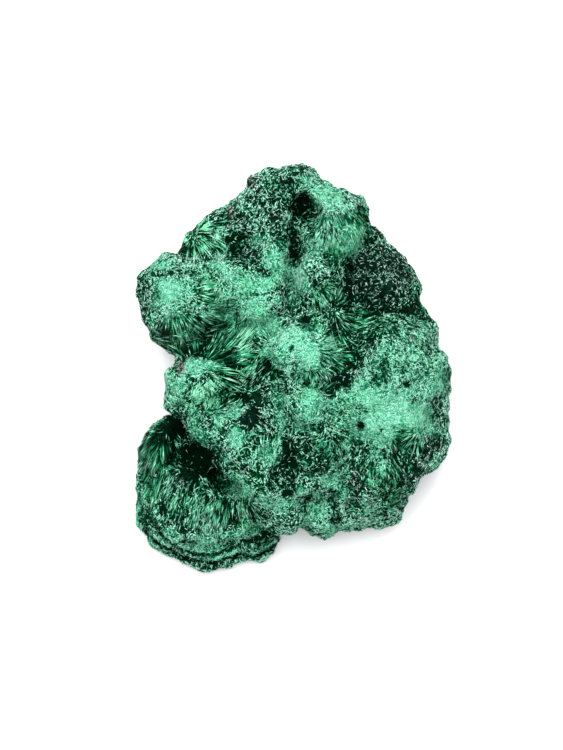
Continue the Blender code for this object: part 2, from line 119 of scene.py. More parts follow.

# Dark places, partly dark clear malachite where the needles stand apart and partly painted shade in hollows,
# pits and under overhangs where the light is shut out: x, y, the two radii and how dark.
DARK_AND_SHADED_PLACES = [
    # Northwest
    (-9.6, 20.0, 2.3, 1.9, 0.9), (-7.0, 18.5, 1.8, 1.1, 0.5), (-6.8, 22.7, 1.6, 1.0, 0.5),
    (-1.4, 28.0, 2.4, 2.0, 0.55), (-0.6, 26.4, 1.6, 1.6, 0.6), (-2.5, 24.5, 1.5, 1.2, 0.6),
    (-0.3, 21.6, 1.2, 1.8, 0.8), (-2.1, 20.3, 1.4, 1.6, 0.7), (-15.0, 2.5, 3.6, 1.0, 0.9),
    (-10.4, 2.4, 3.2, 1.3, 0.7), (-12.6, 7.0, 3.0, 1.6, 0.6), (-15.0, 12.6, 1.0, 1.0, 0.6),
    (-1.8, 12.2, 1.2, 0.8, 0.4), (-24.0, 13.6, 1.6, 1.6, 0.5), (-23.6, 8.0, 1.4, 3.0, 0.45),
    (-20.6, 5.4, 2.2, 2.2, 0.55), (-18.3, 0.8, 1.1, 1.6, 0.6), (-19.0, 19.0, 1.0, 1.0, 0.3),
    (-9.8, 23.8, 3.8, 2.0, 0.6), (-6.8, 30.0, 1.5, 1.5, 0.6), (-4.6, 15.4, 1.8, 1.0, 0.45),
    (-13.6, 6.6, 1.6, 1.2, 0.7), (-16.4, 2.9, 3.0, 0.7, 0.8), (-11.8, 2.7, 3.0, 0.6, 0.6),
    (-0.2, 3.5, 0.4, 0.4, 0.8), (-9.2, 18.2, 1.8, 1.2, 0.8), (-3.9, 27.0, 1.6, 1.4, 0.5),
    (-9.0, 1.0, 2.2, 1.6, 0.65), (-2.4, 20.0, 1.2, 1.0, 0.5), (-5.6, 24.8, 1.6, 1.2, 0.4),
    (-12.2, 22.6, 1.8, 1.0, 0.5), (-0.5, 30.6, 2.0, 1.4, 0.3), (-10.4, 4.6, 2.0, 1.6, 0.35),
    (-6.4, 26.0, 1.8, 1.4, 0.35), (-7.2, 1.1, 2.4, 1.4, 0.65), (-7.2, 17.2, 1.4, 1.0, 0.7),
    (-11.6, 19.8, 1.6, 1.2, 0.5), (-0.8, 29.6, 2.6, 1.8, 0.55), (-5.4, 25.6, 1.8, 1.4, 0.45),
    (-20.6, 15.4, 1.8, 1.0, 0.3), (-22.4, 12.0, 1.6, 1.8, 0.4), (-16.8, 19.9, 1.6, 1.2, 0.45),
    (-18.7, 15.2, 1.8, 1.0, 0.4), (-4.3, 28.7, 1.6, 1.4, 0.5),
    # Northeast
    (13.6, 14.6, 6.6, 6.2, 0.74), (12.4, 10.4, 4.6, 1.9, 0.8), (12.4, 8.2, 3.6, 1.2, 0.45),
    (19.6, 10.4, 1.8, 3.2, 0.75), (9.2, 3.2, 1.5, 1.5, 0.8), (8.6, 5.8, 3.6, 1.2, 0.75),
    (12.2, 4.7, 1.6, 1.2, 0.8), (2.0, 7.7, 1.2, 0.9, 1.0), (1.8, 25.8, 2.0, 2.6, 0.9),
    (0.4, 18.2, 1.3, 2.0, 0.9), (1.6, 11.6, 2.0, 0.9, 0.35), (6.6, 15.4, 1.2, 2.2, 0.6),
    (9.4, 16.2, 1.2, 1.0, 0.8), (12.4, 21.4, 1.4, 3.0, 0.7), (12.0, 22.6, 1.3, 3.2, 0.6),
    (8.8, 16.8, 1.4, 1.4, 0.8), (13.4, 5.8, 2.0, 1.2, 0.6), (15.6, 5.9, 1.2, 0.9, 0.6),
    (3.8, 14.6, 2.4, 2.4, 0.35), (8.8, 11.6, 1.8, 2.2, 0.8), (14.6, 6.9, 2.6, 1.2, 0.5),
    (21.4, 3.6, 1.4, 2.4, 0.4), (9.6, 2.2, 1.2, 1.4, 0.5), (17.8, 16.0, 2.8, 3.2, 0.55),
    (20.6, 8.6, 1.8, 1.8, 0.7), (8.4, 10.4, 2.2, 1.6, 0.85), (2.4, 6.8, 1.8, 1.2, 0.6),
    (10.8, 24.8, 1.2, 2.0, 0.6), (15.0, 19.4, 2.0, 1.6, 0.45), (2.9, 11.3, 1.6, 1.4, 0.35),
    (11.5, 17.2, 1.5, 2.0, 0.75), (20.7, 7.9, 1.8, 1.8, 0.5), (16.6, 8.6, 2.4, 1.2, 0.6),
    (19.6, 7.0, 1.6, 1.4, 0.55), (9.0, 11.9, 1.6, 1.4, 0.95), (9.8, 1.4, 2.0, 2.0, 0.6),
    (2.0, 31.4, 1.8, 1.2, 0.4), (18.1, 13.0, 1.6, 2.0, 0.6), (11.6, 4.6, 2.2, 1.4, 0.75),
    (8.6, 2.0, 1.6, 2.0, 0.7), (18.4, 9.0, 2.4, 1.4, 0.6), (6.0, 16.8, 1.6, 1.8, 0.6),
    (2.8, 22.0, 1.2, 1.8, 0.5), (13.9, 21.0, 1.6, 1.4, 0.5), (3.6, 15.2, 1.6, 1.6, 0.35),
    (13.9, 7.2, 2.4, 1.2, 0.7), (8.6, 27.2, 1.2, 1.4, 0.4), (10.9, 8.8, 1.8, 1.2, 0.75),
    (2.9, 13.6, 1.5, 1.5, 0.45), (17.3, 0.4, 1.4, 1.4, 0.35),
    # Southwest
    (-4.5, -0.2, 1.3, 1.1, 0.9), (-2.6, -0.9, 1.4, 1.0, 0.7), (-6.6, -7.8, 1.9, 2.3, 0.85),
    (-0.8, -13.9, 1.6, 3.6, 0.95), (-15.0, -15.2, 5.0, 5.0, 1.0), (-19.0, -9.4, 3.0, 3.2, 0.95),
    (-12.0, -18.0, 3.0, 2.0, 0.7), (-20.9, -22.6, 1.5, 1.5, 0.8), (-20.5, -25.0, 1.2, 0.8, 0.6),
    (-17.9, -25.8, 1.2, 0.8, 0.8), (-24.0, -23.6, 0.9, 2.4, 0.7), (-4.2, -26.4, 2.2, 1.2, 0.85),
    (-8.4, -30.0, 1.9, 0.9, 0.5), (-12.8, -31.8, 3.2, 0.8, 0.35), (-2.6, -17.0, 2.2, 2.6, 0.5),
    (-7.2, -4.6, 2.6, 1.2, 0.8), (-20.4, -12.6, 2.4, 4.4, 0.7), (-12.6, -15.6, 1.8, 1.8, 1.0),
    (-18.2, -23.4, 1.8, 0.6, 0.6), (-23.6, -25.6, 0.9, 2.0, 0.6), (-1.2, -19.6, 1.4, 1.0, 0.5),
    (-4.2, -18.8, 1.8, 1.3, 0.75), (-8.2, -15.6, 1.8, 1.2, 0.6), (-21.6, -11.6, 3.0, 2.6, 0.9),
    (-15.0, -19.0, 1.8, 1.4, 0.85), (-11.2, -23.4, 1.8, 1.4, 0.6), (-5.6, -11.0, 1.4, 1.4, 0.5),
    (-11.4, -3.4, 1.6, 1.2, 0.35), (-14.6, -8.4, 2.0, 1.4, 0.4), (-6.4, -1.4, 1.8, 1.6, 0.4),
    (-22.4, -17.0, 3.2, 3.8, 0.55), (-18.6, -16.0, 2.6, 2.2, 0.55), (-24.0, -13.4, 2.2, 3.2, 0.55),
    (-13.0, -20.4, 3.2, 1.8, 0.4), (-7.4, -23.0, 2.4, 1.2, 0.4), (-4.6, -27.9, 1.9, 1.1, 0.75),
    (-4.0, -9.4, 1.6, 2.4, 0.45), (-9.0, -14.6, 1.4, 1.2, 0.35), (-19.0, -19.6, 2.2, 1.6, 0.4),
    (-11.4, -23.0, 2.4, 1.4, 0.45), (-12.2, -6.6, 1.2, 0.9, 0.5), (-10.4, -9.6, 1.2, 1.4, 0.35),
    (-18.4, -23.0, 2.0, 1.4, 0.5), (-14.0, -23.0, 2.2, 1.2, 0.45), (-4.4, -29.2, 1.6, 1.0, 0.6),
    (-14.3, -18.3, 2.8, 1.4, 0.9), (-16.0, -25.8, 3.0, 1.2, 0.4), (-10.2, -1.9, 1.6, 1.2, 0.55),
    (-25.2, -21.0, 0.9, 1.8, 0.5), (-21.4, -20.4, 2.0, 1.2, 0.45), (-18.4, -25.2, 1.8, 1.2, 0.5),
    (-11.6, -21.6, 2.4, 1.4, 0.5),
    # Southeast
    (7.8, -2.0, 2.3, 1.7, 0.95), (3.2, -13.8, 6.0, 4.6, 0.54), (6.5, -20.6, 1.1, 2.0, 0.75),
    (7.0, -24.2, 1.2, 0.9, 0.7), (9.6, -18.8, 1.8, 2.2, 0.5), (22.7, -11.6, 1.6, 1.6, 0.76),
    (21.2, -13.6, 1.7, 1.7, 0.76), (19.6, -15.9, 1.6, 1.8, 0.76), (18.0, -18.2, 1.5, 1.8, 0.76),
    (17.6, -13.0, 1.8, 4.4, 0.5), (22.6, -6.2, 1.6, 2.2, 0.45), (14.6, -18.6, 1.3, 2.8, 0.4),
    (15.2, -21.0, 1.4, 1.4, 0.5), (10.2, -12.6, 1.6, 2.2, 0.4), (2.2, -20.9, 1.2, 0.8, 0.6),
    (11.0, -9.0, 0.7, 0.7, 1.0), (18.0, -2.4, 0.45, 0.5, 1.0), (17.3, -0.3, 0.6, 0.4, 0.8),
    (14.6, 0.0, 1.2, 1.3, 0.6), (19.2, -5.2, 0.4, 0.4, 1.0), (13.9, -9.9, 0.4, 0.4, 1.0),
    (20.5, -9.8, 0.4, 0.4, 0.9), (16.0, -3.9, 0.4, 0.4, 0.7), (6.6, -2.6, 1.4, 1.0, 0.8),
    (13.3, -1.6, 1.4, 1.2, 0.6), (16.6, -15.4, 1.4, 2.6, 0.5), (16.7, -17.8, 1.9, 2.4, 0.8),
    (12.2, -16.0, 1.6, 2.4, 0.5), (0.6, -17.4, 1.4, 1.2, 0.5), (1.6, -18.4, 1.6, 1.4, 0.4),
    (6.7, -11.4, 1.8, 1.4, 0.5), (11.8, -18.8, 1.8, 1.8, 0.55), (16.4, -21.0, 1.6, 1.6, 0.45),
    (24.9, -1.4, 1.2, 2.6, 0.4), (11.4, -16.4, 1.6, 2.4, 0.45), (17.2, -21.4, 1.6, 1.4, 0.5),
    (17.4, -16.4, 2.4, 1.8, 0.7), (2.0, -15.0, 1.6, 1.4, 0.7),
]

# Clear emerald needles, and the greyer ones: x, y, the two radii and how much.
EMERALD_PLACES = [
    (-9.0, -2.6, 3.6, 3.6, 1.0), (-13.6, 12.0, 2.6, 2.2, 0.9), (-15.4, 20.6, 2.6, 2.0, 0.9),
    (-9.4, 20.0, 2.4, 2.0, 0.8), (6.2, 13.0, 1.6, 1.8, 1.0), (6.9, 18.0, 1.3, 2.0, 0.9),
    (12.0, 8.2, 4.4, 1.5, 1.0), (14.6, 5.8, 2.4, 1.0, 0.8), (11.0, 22.4, 1.3, 1.8, 0.9),
    (18.0, -12.6, 2.0, 4.0, 0.9), (14.8, -19.4, 1.5, 2.6, 0.9), (-3.8, 29.4, 1.6, 1.1, 1.0),
    (-6.2, -17.6, 1.6, 1.2, 0.8), (7.4, -10.6, 1.2, 0.8, 0.9), (-2.6, -0.9, 1.6, 1.2, 0.9),
    (-8.0, -25.0, 1.3, 1.4, 0.8), (-12.8, 3.6, 3.4, 1.6, 0.8), (-20.0, 3.6, 2.0, 1.6, 0.7),
    (0.4, 21.0, 1.6, 3.0, 0.8), (-4.6, 8.8, 1.6, 1.2, 0.7), (-14.2, -4.6, 3.0, 2.2, 0.6),
    (8.6, -6.0, 1.2, 2.0, 0.7), (4.8, 9.0, 2.0, 2.0, 0.6), (-12.4, -19.0, 3.4, 1.6, 0.7),
]
GREY_PLACES = [
    (-6.4, 30.2, 1.2, 2.0, 1.0), (-2.5, 24.5, 2.0, 1.6, 0.7), (-6.6, -7.8, 2.0, 2.4, 0.8),
    (-9.2, 22.9, 2.0, 1.0, 0.7), (-11.6, 17.2, 1.4, 1.0, 0.6), (7.4, 23.4, 2.6, 3.2, 0.5),
    (-7.0, 18.6, 1.6, 1.2, 0.6), (8.0, -1.2, 2.2, 1.6, 0.6), (10.2, -17.6, 1.8, 2.4, 0.6),
    (-18.6, -18.4, 3.0, 1.8, 0.6), (-14.0, -24.8, 1.6, 2.0, 0.6), (11.0, -24.0, 3.0, 1.4, 0.5),
    (1.0, 15.0, 2.0, 2.0, 0.5), (-16.6, 17.4, 2.0, 1.0, 0.6), (14.0, 15.0, 7.0, 6.0, 0.85),
    (22.4, -12.0, 2.0, 2.0, 0.8), (20.6, -14.6, 1.8, 2.0, 0.8), (18.6, -17.4, 1.6, 2.0, 0.8),
]
# Where the lumps broke open and long needles lie bare: x, y, the two radii and how open.
OPEN_PLACES = [
    (-17.6, 5.6, 4.6, 3.6, 1.0), (-13.4, 6.2, 3.4, 3.4, 1.0), (-20.6, 5.4, 2.2, 2.8, 0.8),
    (-13.2, 12.0, 2.8, 2.8, 0.9), (-11.4, 9.6, 2.8, 3.2, 0.8), (-10.4, 6.0, 3.4, 3.2, 1.0),
    (-8.0, 7.2, 2.4, 3.4, 0.8), (-14.6, 20.8, 4.2, 3.0, 1.0), (-11.4, 19.6, 2.4, 1.8, 0.9),
    (-10.0, 0.6, 5.6, 4.0, 1.0), (-12.4, -4.4, 5.4, 3.4, 1.0), (-15.6, -4.6, 3.2, 2.6, 0.8),
    (-6.6, 0.4, 3.4, 3.8, 1.0), (-7.4, 3.6, 3.4, 1.8, 0.9), (-5.0, 6.0, 2.6, 2.6, 0.6),
    (6.8, 3.0, 4.0, 4.0, 0.9), (3.6, -2.2, 4.0, 2.4, 0.8), (5.6, 10.6, 3.2, 3.4, 0.9),
    (11.6, 7.6, 6.2, 2.1, 0.9), (7.8, 20.6, 4.0, 5.0, 1.6), (3.8, 23.0, 2.6, 3.4, 0.6),
    (7.2, -7.0, 3.2, 2.8, 0.7), (6.0, -12.0, 5.2, 4.4, 0.5), (13.6, -15.6, 3.4, 5.6, 0.5),
    (18.2, -12.4, 2.8, 5.4, 1.0), (15.4, -20.0, 2.8, 3.4, 0.7), (-6.0, -12.0, 3.4, 3.4, 0.5),
    (-14.0, -21.6, 9.0, 6.6, 0.7), (-21.6, -15.0, 3.8, 7.6, 1.0), (-8.0, -24.0, 4.0, 3.0, 0.7),
    (19.6, 14.2, 1.6, 5.4, 0.5), (11.6, 23.0, 1.4, 3.4, 0.8),
]
RUST_PLACES = [
    (-10.0, 25.0, 0.7, 1.6, 0.9), (-18.0, 0.6, 0.9, 1.6, 0.8), (18.7, 5.1, 0.45, 0.35, 1.0),
    (-6.6, -0.6, 0.7, 0.6, 0.6),
]


# The thin shells of an older growth under the southwest side: the free edge of each, from west to east.
SHELL_CENTRE = (-12.5, -18.0)
SHELL_EDGES = [
    [(-22.8, -20.5), (-22.0, -23.6), (-21.0, -26.0), (-18.0, -28.5), (-14.0, -29.5), (-10.0, -28.5),
     (-8.0, -27.3), (-5.5, -26.5), (-3.5, -25.0)],
    [(-22.4, -27.0), (-20.0, -28.6), (-17.0, -30.2), (-14.0, -30.9), (-11.0, -30.2), (-8.5, -29.2),
     (-6.5, -30.0), (-3.0, -28.0)],
]
EDGE_BREADTH = 0.6
GAP_BREADTH = 1.0
EDGE_RISE = 0.2
GAP_CUT = 0.3


def coordinates(mesh):
    flat = np.empty(len(mesh.vertices) * 3, np.float32)
    mesh.vertices.foreach_get("co", flat)
    return flat.reshape(-1, 3).astype(float) / MM


def facings(mesh):
    flat = np.empty(len(mesh.vertices) * 3, np.float32)
    mesh.vertices.foreach_get("normal", flat)
    return flat.reshape(-1, 3).astype(float)


def noise(points, pitch, seed):
    """Smooth noise from -1 to 1 that turns over in about one pitch."""
    cell, inside = np.divmod(points / pitch, 1.0)
    inside = inside * inside * (3.0 - 2.0 * inside)
    total = np.zeros(len(points))
    for corner in itertools.product((0, 1), repeat=points.shape[1]):
        spot = (cell.astype(np.int64) + corner) @ (73856093, 19349663, 83492791)[: points.shape[1]]
        mixed = ((spot + seed * 7919) * 2654435761) & 0xFFFFFFFF
        mixed = ((mixed ^ (mixed >> 15)) * 2246822519) & 0xFFFFFFFF
        value = (mixed ^ (mixed >> 13)) / 0x7FFFFFFF - 1.0
        total += value * np.prod(np.where(corner, inside, 1.0 - inside), axis=1)
    return total


def smooth_step(value, low, high):
    share = np.clip((value - low) / (high - low), 0.0, 1.0)
    return share * share * (3.0 - 2.0 * share)


def from_above(facing):
    """1 where the surface can be seen from above, 0 where it faces down."""
    return smooth_step(facing[:, 2], -0.2, 0.15)


def share_of(places, points, facing):
    """How much each point lies in one of the places, as seen from above, with ragged edges."""
    ragged = points[:, :2].copy()
    for axis in (0, 1):
        ragged[:, axis] += 0.45 * noise(points, 1.5, 11 + axis) + 0.2 * noise(points, 0.5, 13 + axis)
    found = np.zeros(len(points))
    for x, y, across, along, amount in places:
        apart = np.hypot((ragged[:, 0] - x) / across, (ragged[:, 1] - y) / along)
        found = np.maximum(found, amount * smooth_step(-apart, -1.2, -0.45))
    return found * from_above(facing)


def shell_steps(points, facing):
    """How much each point lies on the free edge of a shell, and in the gap under it."""
    east, north = points[:, 0] - SHELL_CENTRE[0], points[:, 1] - SHELL_CENTRE[1]
    around = np.arctan2(north, east)
    out = np.hypot(east, north)
    edge = np.zeros(len(points))
    gap = np.zeros(len(points))
    for line in SHELL_EDGES:
        turns = [math.atan2(y - SHELL_CENTRE[1], x - SHELL_CENTRE[0]) for x, y in line]
        spans = [math.hypot(x - SHELL_CENTRE[0], y - SHELL_CENTRE[1]) for x, y in line]
        past = out - np.interp(around, turns, spans) + 0.15 * noise(points, 1.1, 15)
        beside = smooth_step(around, turns[0] - 0.05, turns[0] + 0.1)
        beside *= smooth_step(-around, -turns[-1] - 0.1, -turns[-1])
        within = smooth_step(past, -EDGE_BREADTH, -0.25) * smooth_step(-past, 0.0, 0.2)
        under_it = smooth_step(past, 0.0, 0.2) * smooth_step(-past, -GAP_BREADTH, -0.4)
        edge = np.maximum(edge, beside * within)
        gap = np.maximum(gap, beside * under_it)
    return edge * from_above(facing), gap * from_above(facing)


def apply_all(obj):
    bpy.context.view_layer.objects.active = obj
    for modifier in list(obj.modifiers):
        bpy.ops.object.modifier_apply(modifier=modifier.name)


bpy.ops.object.select_all(action="DESELECT")
mass = bpy.data.objects.new("mass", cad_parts["malachite"].data.copy())
bpy.context.collection.objects.link(mass)
mass.select_set(True)
bpy.context.view_layer.objects.active = mass
bpy.ops.object.mode_set(mode="EDIT")
bpy.ops.mesh.select_all(action="SELECT")
bpy.ops.mesh.remove_doubles(threshold=0.01 * MM)
bpy.ops.object.mode_set(mode="OBJECT")
even = mass.modifiers.new("even faces", "REMESH")
even.mode = "VOXEL"
even.voxel_size = MASS_VOXEL * MM
ease = mass.modifiers.new("ease", "SMOOTH")
ease.factor = 0.5
ease.iterations = EASING_STEPS
apply_all(mass)
tips_reach = BVHTree.FromObject(mass, bpy.context.evaluated_depsgraph_get())

# How far each point of the mass stands out of its surroundings.
outer = coordinates(mass.data)
facing = facings(mass.data)
soft = mass.copy()
soft.data = mass.data.copy()
bpy.context.collection.objects.link(soft)
blur = soft.modifiers.new("blur", "SMOOTH")
blur.factor = 0.5
blur.iterations = BLUR_STEPS
apply_all(soft)
stand_out = ((outer - coordinates(soft.data)) * facing).sum(axis=1)
lie = facings(soft.data)
bpy.data.objects.remove(soft)

closed = np.minimum(share_of(PALE_AND_LIT_TOPS, outer, facing), 1.0)
bare = np.minimum(share_of(OPEN_PLACES, outer, facing) * (1.0 - 0.8 * closed), 1.0)
depth = FELT_DEPTH + (OPEN_DEPTH - FELT_DEPTH) * bare
sunk = facing * depth[:, None]
sunk[:, 2] *= smooth_step(outer[:, 2], 0.0, BASE_FADE)
edge, gap = shell_steps(outer, facing)
crumb = 0.10 * noise(outer, 0.9, 3) + 0.06 * noise(outer, 0.45, 4) + EDGE_RISE * edge - GAP_CUT * gap
crumb *= smooth_step(outer[:, 2], 0.2, 1.0)
inner = outer - sunk + facing * crumb[:, None]
inner[:, 2] = np.maximum(inner[:, 2], 0.0)
inner[outer[:, 2] < 0.05, 2] = 0.0
mass.data.vertices.foreach_set("co", (inner * MM).astype(np.float32).ravel())
mass.data.update()
mass.data.shade_smooth()


# How light the malachite is, from 0, near black, to 1, palest: plain, on a pale top, in a dark place, on a
# shell's edge and in the painted shadow of the gap under it. A place is painted lighter by how far it stands
# out and darker in hollows, and painted darker where steep, as painted light and shade.
PLAIN_TONE = 0.435
PALE_TONE = 0.78
DARK_TONE = 0.05
EDGE_TONE = 0.72
GAP_SHADOW_TONE = 0.19
RELIEF_SHADE_PER_MM = 0.45
STAND_OUT_MOST = 0.35
STEEP_SHADE = 0.07


def tone_of(points, facing, stands):
    """How light the malachite is at each point, with its painted light and shade, and how pale and how dark a
    place that is.
    """
    pale = share_of(PALE_AND_LIT_TOPS, points, facing)
    dark = share_of(DARK_AND_SHADED_PLACES, points, facing)
    # Painted light and shade: lighter where the surface stands out, darker in hollows.
    tone = PLAIN_TONE + RELIEF_SHADE_PER_MM * np.clip(stands, -STAND_OUT_MOST, STAND_OUT_MOST)
    tone += (0.09 * noise(points, 1.6, 21) + 0.16 * noise(points, 0.75, 22)) * (1.0 - 0.7 * pale)
    # Painted shade: steep flanks darker, as if they got less light.
    tone -= STEEP_SHADE * (1.0 - smooth_step(facing[:, 2], 0.1, 0.75))
    # Pale tops: the mint of needle ends, partly painted light.
    tone += (PALE_TONE - tone) * pale * 0.95
    pale = np.minimum(pale, 1.0)
    # Dark places: partly dark malachite, partly painted shade in hollows and under overhangs.
    tone += (DARK_TONE - tone) * dark
    edge, gap = shell_steps(points, facing)
    tone += (EDGE_TONE - tone) * edge
    # Painted shadow in the gap under each shell's edge.
    tone += (GAP_SHADOW_TONE - tone) * gap
    return tone, pale, np.maximum(dark, gap)


# The hues, on a scale from clear emerald to rust, and each one's colours from near black to palest.
HUE_SPOTS = {"emerald": 0.0, "green": 0.5, "grey": 0.8, "rust": 1.0}
PLAIN_HUE = 0.43
EMERALD_HUE = 0.08
GREY_HUE = 0.78
MALACHITE_RAMP = {
    "emerald": [(0.0, (0.0, 0.004, 0.001)), (0.12, (0.0, 0.016, 0.004)), (0.25, (0.0005, 0.055, 0.013)),
                (0.5, (0.005, 0.20, 0.070)), (0.75, (0.06, 0.45, 0.22)), (1.0, (0.38, 0.84, 0.60))],
    "green": [(0.0, (0.0, 0.004, 0.002)), (0.12, (0.0004, 0.016, 0.006)), (0.25, (0.002, 0.056, 0.022)),
              (0.5, (0.016, 0.20, 0.100)), (0.75, (0.100, 0.45, 0.275)), (1.0, (0.42, 0.84, 0.66))],
    "grey": [(0.0, (0.0, 0.004, 0.003)), (0.12, (0.002, 0.016, 0.010)), (0.25, (0.010, 0.055, 0.036)),
             (0.5, (0.07, 0.20, 0.145)), (0.75, (0.22, 0.45, 0.36)), (1.0, (0.68, 0.84, 0.78))],
    "rust": [(0.0, (0.006, 0.008, 0.005)), (0.5, (0.15, 0.17, 0.11)), (1.0, (0.52, 0.50, 0.36))],
}
MALACHITE_GLOSS = 0.02


def hue_of(points, facing):
    """Where each point lies on the scale of hues."""
    hue = PLAIN_HUE + 0.14 * noise(points, 2.5, 31)
    hue += (EMERALD_HUE - hue) * share_of(EMERALD_PLACES, points, facing)
    hue += (GREY_HUE - hue) * share_of(GREY_PLACES, points, facing)
    hue += (HUE_SPOTS["rust"] - hue) * share_of(RUST_PLACES, points, facing)
    return hue


def malachite(name, roughness):
    """Malachite coloured by the piece's own map: u is how light it is and v is its hue."""
    material = bpy.data.materials.new(name)
    material.use_nodes = True
    nodes, links = material.node_tree.nodes, material.node_tree.links
    shader = nodes["Principled BSDF"]
    shader.inputs["Roughness"].default_value = roughness
    shader.inputs["Specular IOR Level"].default_value = MALACHITE_GLOSS
    where = nodes.new("ShaderNodeUVMap")
    where.uv_map = "OFBake"
    split = nodes.new("ShaderNodeSeparateXYZ")
    links.new(where.outputs["UV"], split.inputs["Vector"])
    colour = None
    last_spot = None
    for hue, stops in MALACHITE_RAMP.items():
        ramp = nodes.new("ShaderNodeValToRGB")
        ramp.label = hue
        for spot, _ in stops[2:]:
            ramp.color_ramp.elements.new(spot)
        for element, (spot, tint) in zip(ramp.color_ramp.elements, stops):
            element.position = spot
            element.color = (*tint, 1.0)
        links.new(split.outputs["X"], ramp.inputs["Fac"])
        if colour is None:
            colour = ramp.outputs["Color"]
        else:
            share = nodes.new("ShaderNodeMapRange")
            share.inputs["From Min"].default_value = last_spot
            share.inputs["From Max"].default_value = HUE_SPOTS[hue]
            links.new(split.outputs["Y"], share.inputs["Value"])
            mix = nodes.new("ShaderNodeMix")
            mix.data_type = "RGBA"
            links.new(share.outputs["Result"], mix.inputs["Factor"])
            links.new(colour, mix.inputs[6])
            links.new(ramp.outputs["Color"], mix.inputs[7])
            colour = mix.outputs[2]
        last_spot = HUE_SPOTS[hue]
    links.new(colour, shader.inputs["Base Color"])
    return material


rng = np.random.default_rng(2044)
facing = facings(mass.data)
tone, pale, dark = tone_of(outer, facing, stand_out)
hue = hue_of(outer, facing)
# Under the needles the mass is painted dark, as painted shade in the gaps between them, a little darker
# where they lie bare; on the break below it has the faint rings of its growth.
skin_shade_and_rings = tone * (0.3 + 0.5 * pale - 0.1 * bare) + 0.12 * (1.0 - 0.6 * pale) * noise(outer, 0.6, 41)
rings = np.sin(np.hypot(outer[:, 0] - 2.0, outer[:, 1] + 3.0) * 2.2 + 2.0 * noise(outer, 5.0, 51))
skin_shade_and_rings = np.where(outer[:, 2] < 0.3, 0.45 + 0.14 * rings + 0.05 * noise(outer, 1.0, 52), skin_shade_and_rings)
skin_shade_and_rings = np.clip(skin_shade_and_rings, 0.02, 0.98)
corner_vertex = np.empty(len(mass.data.loops), np.int32)
mass.data.loops.foreach_get("vertex_index", corner_vertex)
spots = np.stack([skin_shade_and_rings, np.clip(hue, 0.0, 1.0)], axis=1)
spots += rng.uniform(-0.004, 0.004, spots.shape)
own_map = mass.data.uv_layers.new(name="OFBake")
own_map.uv.foreach_set("vector", spots[corner_vertex].astype(np.float32).ravel())
mass.data.materials.clear()
mass.data.materials.append(malachite("malachite mass", 0.6))
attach(mass, "root")
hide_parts("malachite")


# The needles. Each lobe's needles spread from a spot near its top: they stand on end there and lean out down
# its flanks, where they lie almost flat, up to a few millimetres of each one in the open. They are slender
# spindles, split off as a lump breaks, some clear and dark, some pale, and a few painted near white as
# glints.

# Where the needles of each spray spread from: x, y, z, how far they reach, their open length, and how far
# they stray from the spray, in degrees.
SPRAYS = {
    "west cap": (-19.4, 12.2, 19.0, 9.5, 3.4, 8.0),
    "west cap ridge": (-14.5, 17.0, 18.5, 3.6, 1.5, 40.0),
    "northwest blades": (-19.5, 25.6, 13.0, 8.0, 4.6, 4.0),
    "northwest shoulder": (-9.5, 25.4, 17.0, 4.2, 1.4, 45.0),
    "north rim": (-6.6, 30.6, 13.0, 2.6, 1.2, 20.0),
    "north crown": (-1.2, 29.2, 18.5, 4.2, 1.2, 45.0),
    "north fan": (5.0, 28.4, 20.5, 7.6, 1.8, 8.0),
    "northeast chip": (12.0, 26.4, 12.0, 3.0, 1.8, 15.0),
    "east dome": (14.0, 14.0, 14.0, 7.2, 0.8, 70.0),
    "east rim": (21.0, 14.0, 9.0, 3.0, 1.2, 25.0),
    "green band": (6.5, 9.4, 20.0, 5.0, 3.0, 9.0),
    "knob top": (3.4, 17.0, 22.5, 3.2, 0.9, 50.0),
    "knob": (3.4, 13.8, 23.0, 4.4, 2.6, 14.0),
    "west crest": (-10.0, 15.2, 22.0, 5.4, 2.8, 12.0),
    "inner crest": (-6.2, 11.0, 23.5, 5.6, 3.0, 12.0),
    "north crest": (-3.2, 17.6, 21.5, 4.0, 1.2, 40.0),
    "star": (2.0, 3.4, 26.0, 6.6, 2.2, 12.0),
    "west knob": (-15.6, 0.6, 19.6, 7.4, 4.6, 6.0),
    "west heel": (-19.4, -2.8, 15.0, 3.0, 1.2, 35.0),
    "west spray": (-2.6, 3.2, 23.0, 4.4, 2.6, 9.0),
    "small knob": (2.8, -4.6, 24.4, 4.4, 2.0, 16.0),
    "crown": (16.2, -3.2, 24.5, 8.6, 0.8, 45.0),
    "crown west": (11.2, -4.0, 23.5, 4.2, 0.8, 40.0),
    "south fan": (14.2, -8.6, 21.5, 7.4, 1.7, 9.0),
    "south valley": (19.6, -7.4, 17.0, 5.0, 3.0, 9.0),
    "southeast knob": (20.4, -15.4, 14.0, 4.6, 0.8, 60.0),
    "south middle": (5.6, -9.0, 22.5, 5.6, 1.6, 32.0),
    "southwest mass": (-9.4, -8.2, 21.5, 4.4, 1.4, 35.0),
    "southwest brow": (-14.4, -8.0, 19.0, 3.6, 1.4, 30.0),
    "southwest fan": (-8.0, -11.4, 22.0, 4.6, 1.6, 30.0),
    "south brow": (-6.2, -17.0, 20.5, 4.2, 1.4, 40.0),
    "south dark": (2.4, -14.0, 21.0, 4.8, 0.9, 60.0),
    "south lump": (-2.0, -21.0, 17.5, 4.0, 1.0, 45.0),
    "south beads": (4.6, -19.8, 19.0, 4.6, 0.9, 50.0),
    "south skirt": (5.0, -24.0, 13.0, 3.6, 1.0, 40.0),
    "south heel": (13.4, -21.6, 13.5, 4.6, 1.6, 28.0),
    "shell": (-13.8, -9.0, 13.5, 13.0, 1.5, 11.0),
    "shell lip": (-9.4, -13.6, 12.5, 9.6, 2.0, 9.0),
    "shell west": (-19.6, -6.5, 13.5, 13.0, 3.6, 5.0),
}
